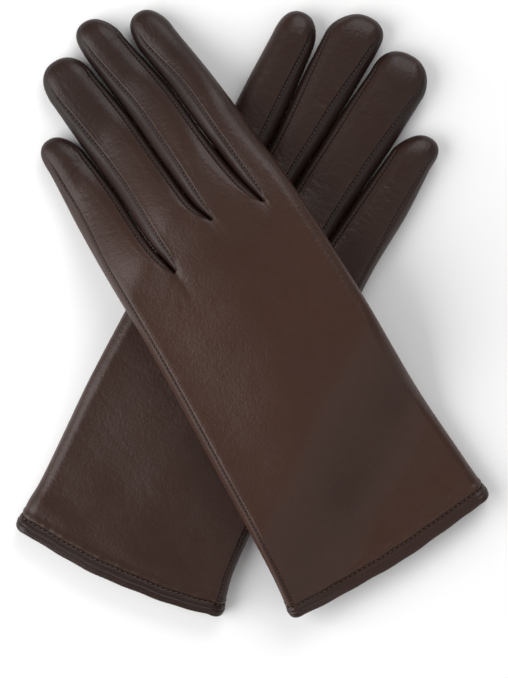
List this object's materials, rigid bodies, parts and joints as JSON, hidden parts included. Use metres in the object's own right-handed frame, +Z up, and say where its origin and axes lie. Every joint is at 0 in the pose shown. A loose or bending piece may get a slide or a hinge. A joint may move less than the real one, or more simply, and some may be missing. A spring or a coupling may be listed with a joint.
{
  "type": "pair of leather gloves",
  "caption": "Pair of lined dark brown leather dress gloves laid crossed, backs up, thumbs folded under, with sewn fourchettes and hemmed cuffs.",
  "frame": {"origin": "middle of the pair's outline, on the surface the gloves lie on", "axes": "+X to the right hand side as the cuffs point at the viewer, +Y from the cuffs to the fingertips, +Z up off the surface"},
  "size_m": [0.191, 0.2446, 0.0352],
  "materials": {
    "leather_back": "smooth dyed nappa, soft satin sheen, fine grain",
    "leather_palm": "smooth dyed nappa, a little duller where it is handled",
    "leather_fourchette": "smooth dyed nappa strips, sewn edges",
    "leather_hem": "turned leather edge with two sewn rows",
    "lining_knit": "fine brown rib knit"
  },
  "bodies": {
    "right_hand": {"right_back": "leather_back", "right_palm": "leather_palm", "right_lining_hand": "lining_knit", "right_cuff_hem": "leather_hem", "right_fourchette_index_middle": "leather_fourchette", "right_fourchette_middle_ring": "leather_fourchette", "right_fourchette_ring_little": "leather_fourchette"},
    "right_index": {"right_index_end": "leather_back", "right_index_fourchette_little_side": "leather_fourchette", "right_index_lining_end": "lining_knit"},
    "right_middle": {"right_middle_end": "leather_back", "right_middle_fourchette_index_side": "leather_fourchette", "right_middle_fourchette_little_side": "leather_fourchette", "right_middle_lining_end": "lining_knit"},
    "right_ring": {"right_ring_end": "leather_back", "right_ring_fourchette_index_side": "leather_fourchette", "right_ring_fourchette_little_side": "leather_fourchette", "right_ring_lining_end": "lining_knit"},
    "right_little": {"right_little_end": "leather_back", "right_little_fourchette_index_side": "leather_fourchette", "right_little_lining_end": "lining_knit"},
    "right_thumb": {"right_thumb": "leather_palm", "right_thumb_lining": "lining_knit"},
    "left_hand": {"left_back": "leather_back", "left_palm": "leather_palm", "left_lining_hand": "lining_knit", "left_cuff_hem": "leather_hem", "left_fourchette_index_middle": "leather_fourchette", "left_fourchette_middle_ring": "leather_fourchette", "left_fourchette_ring_little": "leather_fourchette"},
    "left_index": {"left_index_end": "leather_back", "left_index_fourchette_little_side": "leather_fourchette", "left_index_lining_end": "lining_knit"},
    "left_middle": {"left_middle_end": "leather_back", "left_middle_fourchette_index_side": "leather_fourchette", "left_middle_fourchette_little_side": "leather_fourchette", "left_middle_lining_end": "lining_knit"},
    "left_ring": {"left_ring_end": "leather_back", "left_ring_fourchette_index_side": "leather_fourchette", "left_ring_fourchette_little_side": "leather_fourchette", "left_ring_lining_end": "lining_knit"},
    "left_little": {"left_little_end": "leather_back", "left_little_fourchette_index_side": "leather_fourchette", "left_little_lining_end": "lining_knit"},
    "left_thumb": {"left_thumb": "leather_palm", "left_thumb_lining": "lining_knit"}
  },
  "joints": [
    {"name": "right_index_bend", "type": "hinge", "parent": "right_hand", "child": "right_index", "pos_m": [0.00496, 0.08613, 0.0062], "axis": [-0.8983, 0.4394, 0], "range_deg": [-15, 75]},
    {"name": "right_middle_bend", "type": "hinge", "parent": "right_hand", "child": "right_middle", "pos_m": [0.02292, 0.07849, 0.0062], "axis": [-0.8766, 0.4812, 0], "range_deg": [-15, 75]},
    {"name": "right_ring_bend", "type": "hinge", "parent": "right_hand", "child": "right_ring", "pos_m": [0.03939, 0.06378, 0.0062], "axis": [-0.8335, 0.5525, 0], "range_deg": [-15, 75]},
    {"name": "right_little_bend", "type": "hinge", "parent": "right_hand", "child": "right_little", "pos_m": [0.05178, 0.04216, 0.0062], "axis": [-0.8415, 0.5403, 0], "range_deg": [-15, 75]},
    {"name": "right_thumb_swing", "type": "hinge", "parent": "right_hand", "child": "right_thumb", "pos_m": [-0.032, -0.01489, 0.003], "axis": [0, 0, 1], "range_deg": [0, 40]},
    {"name": "left_index_bend", "type": "hinge", "parent": "left_hand", "child": "left_index", "pos_m": [-0.01962, 0.08597, 0.01858], "axis": [-0.8127, -0.5827, 0], "range_deg": [-15, 75]},
    {"name": "left_middle_bend", "type": "hinge", "parent": "left_hand", "child": "left_middle", "pos_m": [-0.03606, 0.07763, 0.01417], "axis": [-0.822, -0.5695, 0], "range_deg": [-15, 75]},
    {"name": "left_ring_bend", "type": "hinge", "parent": "left_hand", "child": "left_ring", "pos_m": [-0.05106, 0.06204, 0.01094], "axis": [-0.813, -0.5823, 0], "range_deg": [-15, 75]},
    {"name": "left_little_bend", "type": "hinge", "parent": "left_hand", "child": "left_little", "pos_m": [-0.06144, 0.03988, 0.01114], "axis": [-0.8516, -0.5242, 0], "range_deg": [-15, 75]},
    {"name": "left_thumb_swing", "type": "hinge", "parent": "left_hand", "child": "left_thumb", "pos_m": [0.02792, -0.01014, 0.0208], "axis": [0, 0, -1], "range_deg": [0, 40]},
    {"name": "left_glove_lift", "type": "slide", "parent": "right_hand", "child": "left_hand", "axis": [0, 0, 1], "range_m": [0, 0.08]}
  ]
}
